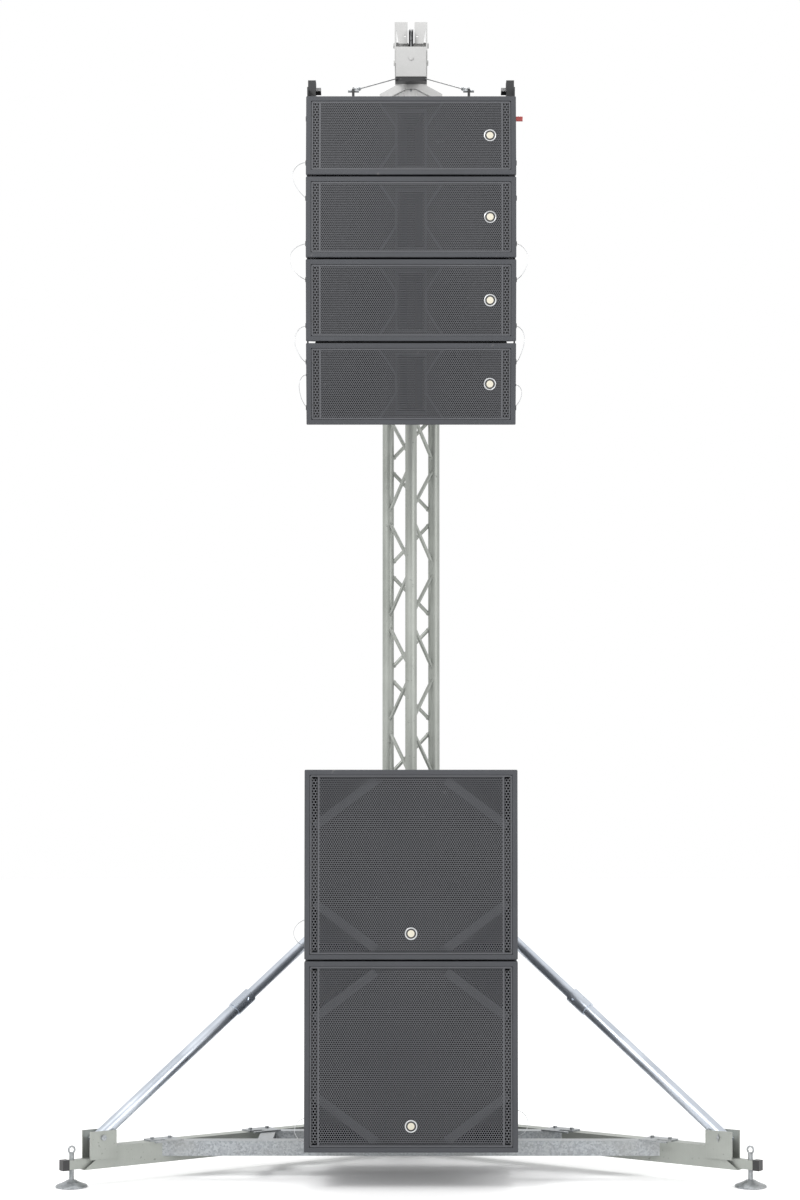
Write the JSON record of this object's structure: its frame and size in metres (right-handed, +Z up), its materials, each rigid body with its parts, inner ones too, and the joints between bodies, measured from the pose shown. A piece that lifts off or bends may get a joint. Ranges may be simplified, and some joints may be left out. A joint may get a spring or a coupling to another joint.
{
  "type": "line array speaker",
  "caption": "Free-standing line array loudspeaker rig: curved stack of array cabinets on a flybar, hoisted on a truss lifting tower with braced outriggers, above stacked subwoofers.",
  "frame": {"origin": "middle of the rig's footprint on the floor, on its plane of symmetry", "axes": "+Z up, -Y towards the audience (the grilles face -Y), +X to the right as seen from the audience"},
  "size_m": [2.784, 2.725, 4.879],
  "materials": {
    "aluminium": "brushed, lightly matt",
    "zinc_steel": "galvanised, dull",
    "bright_tube": "drawn tube, satin",
    "head_paint": "light grey paint, semi-matt",
    "rope_steel": "stranded wire",
    "black_steel": "black powder coat",
    "cabinet_paint": "dark grey textured coat on plywood",
    "grille_paint": "dark grey powder-coated perforated steel",
    "driver": "black frame and doped cone",
    "lanyard_wire": "thin clear-coated wire",
    "red_grip": "red moulded grip",
    "black_plastic": "black moulded plastic",
    "sheave": "dark machined wheel"
  },
  "bodies": {
    "base": {"base_hub": "zinc_steel", "leg_left": "aluminium", "leg_right": "aluminium", "leg_rear": "aluminium", "leg_end_caps": "black_plastic", "base_fixings": "zinc_steel", "cross_beams": "zinc_steel", "mast_lower": "aluminium", "mast_middle": "aluminium", "mast_upper": "aluminium", "mast_couplers": "zinc_steel", "brace_band": "zinc_steel", "head_frame": "head_paint", "head_beam": "head_paint", "winch_frame": "zinc_steel", "hoist_rope": "rope_steel", "hoist_rope_front": "rope_steel", "sub_lanyards": "lanyard_wire", "sub_woofers": "driver", "sub_fittings": "black_plastic", "sub_lower_cabinet": "cabinet_paint", "sub_lower_grille": "grille_paint", "sub_upper_cabinet": "cabinet_paint", "sub_upper_grille": "grille_paint"},
    "array_top": {"load_yoke": "black_steel", "bridle_ropes": "rope_steel", "bridle_fittings": "zinc_steel", "flybar": "black_steel", "mast_guide": "black_plastic", "box_1_cabinet": "cabinet_paint", "box_1_grille": "grille_paint", "box_1_drivers": "driver", "box_1_rigging": "black_steel", "box_1_lanyards": "lanyard_wire"},
    "box_2": {"box_2_cabinet": "cabinet_paint", "box_2_grille": "grille_paint", "box_2_drivers": "driver", "box_2_rigging": "black_steel", "box_2_lanyards": "lanyard_wire"},
    "box_3": {"box_3_cabinet": "cabinet_paint", "box_3_grille": "grille_paint", "box_3_drivers": "driver", "box_3_rigging": "black_steel", "box_3_lanyards": "lanyard_wire"},
    "box_4": {"box_4_cabinet": "cabinet_paint", "box_4_grille": "grille_paint", "box_4_drivers": "driver", "box_4_rigging": "black_steel", "box_4_lanyards": "lanyard_wire"},
    "release_pin": {"release_pin": "red_grip"},
    "jack_left": {"jack_left": "zinc_steel"},
    "jack_right": {"jack_right": "zinc_steel"},
    "jack_rear": {"jack_rear": "zinc_steel"},
    "brace_left": {"brace_left": "bright_tube"},
    "brace_right": {"brace_right": "bright_tube"},
    "brace_rear": {"brace_rear": "bright_tube"},
    "sheave_front": {"sheave_front": "sheave"},
    "sheave_rear": {"sheave_rear": "sheave"},
    "winch_drum": {"winch_drum": "zinc_steel"},
    "winch_crank": {"winch_crank": "zinc_steel"}
  },
  "joints": [
    {"name": "array_lift", "type": "slide", "parent": "base", "child": "array_top", "axis": [0, 0, 1], "range_m": [-1.3, 0], "deforming": ["hoist_rope_front"]},
    {"name": "splay_1_2", "type": "hinge", "parent": "array_top", "child": "box_2", "pos_m": [0, -1.29706, 3.89677], "axis": [1, 0, 0], "range_deg": [-5, 5]},
    {"name": "splay_2_3", "type": "hinge", "parent": "box_2", "child": "box_3", "pos_m": [0, -1.28518, 3.574], "axis": [1, 0, 0], "range_deg": [-5, 5]},
    {"name": "splay_3_4", "type": "hinge", "parent": "box_3", "child": "box_4", "pos_m": [0, -1.24522, 3.2535], "axis": [1, 0, 0], "range_deg": [-5, 5]},
    {"name": "release_pin_pull", "type": "slide", "parent": "array_top", "child": "release_pin", "axis": [1, 0, 0], "range_m": [0, 0.06]},
    {"name": "jack_left_screw", "type": "slide", "parent": "base", "child": "jack_left", "axis": [0, 0, 1], "range_m": [-0.02, 0.038]},
    {"name": "brace_left_fold", "type": "hinge", "parent": "base", "child": "brace_left", "pos_m": [-1.23119, -1.18513, 0.186], "axis": [0.5736, -0.8192, 0], "range_deg": [0, 120]},
    {"name": "jack_right_screw", "type": "slide", "parent": "base", "child": "jack_right", "axis": [0, 0, 1], "range_m": [-0.02, 0.038]},
    {"name": "brace_right_fold", "type": "hinge", "parent": "base", "child": "brace_right", "pos_m": [1.23119, -1.18513, 0.186], "axis": [0.5736, 0.8192, 0], "range_deg": [0, 120]},
    {"name": "jack_rear_screw", "type": "slide", "parent": "base", "child": "jack_rear", "axis": [0, 0, 1], "range_m": [-0.02, 0.038]},
    {"name": "brace_rear_fold", "type": "hinge", "parent": "base", "child": "brace_rear", "pos_m": [0, 1.17996, 0.186], "axis": [-1, 0, 0], "range_deg": [0, 120]},
    {"name": "sheave_front_turn", "type": "hinge", "parent": "base", "child": "sheave_front", "pos_m": [0, -0.43904, 4.79], "axis": [1, 0, 0], "range_deg": [0, 1140]},
    {"name": "sheave_rear_turn", "type": "hinge", "parent": "base", "child": "sheave_rear", "pos_m": [0, -0.19904, 4.79], "axis": [1, 0, 0], "range_deg": [0, 1140]},
    {"name": "winch_drum_turn", "type": "hinge", "parent": "base", "child": "winch_drum", "pos_m": [0, -0.17204, 1.44], "axis": [1, 0, 0], "range_deg": [0, 1920]},
    {"name": "winch_crank_turn", "type": "hinge", "parent": "base", "child": "winch_crank", "pos_m": [0, -0.17204, 1.535], "axis": [1, 0, 0], "range_deg": [-6700, 0]}
  ],
  "couplings": [
    {"joint": "sheave_front_turn", "follows": "array_lift", "rad_per_m": -15.152},
    {"joint": "sheave_rear_turn", "follows": "array_lift", "rad_per_m": -15.152},
    {"joint": "winch_drum_turn", "follows": "array_lift", "rad_per_m": -25.641},
    {"joint": "winch_crank_turn", "follows": "array_lift", "rad_per_m": 89.744}
  ]
}
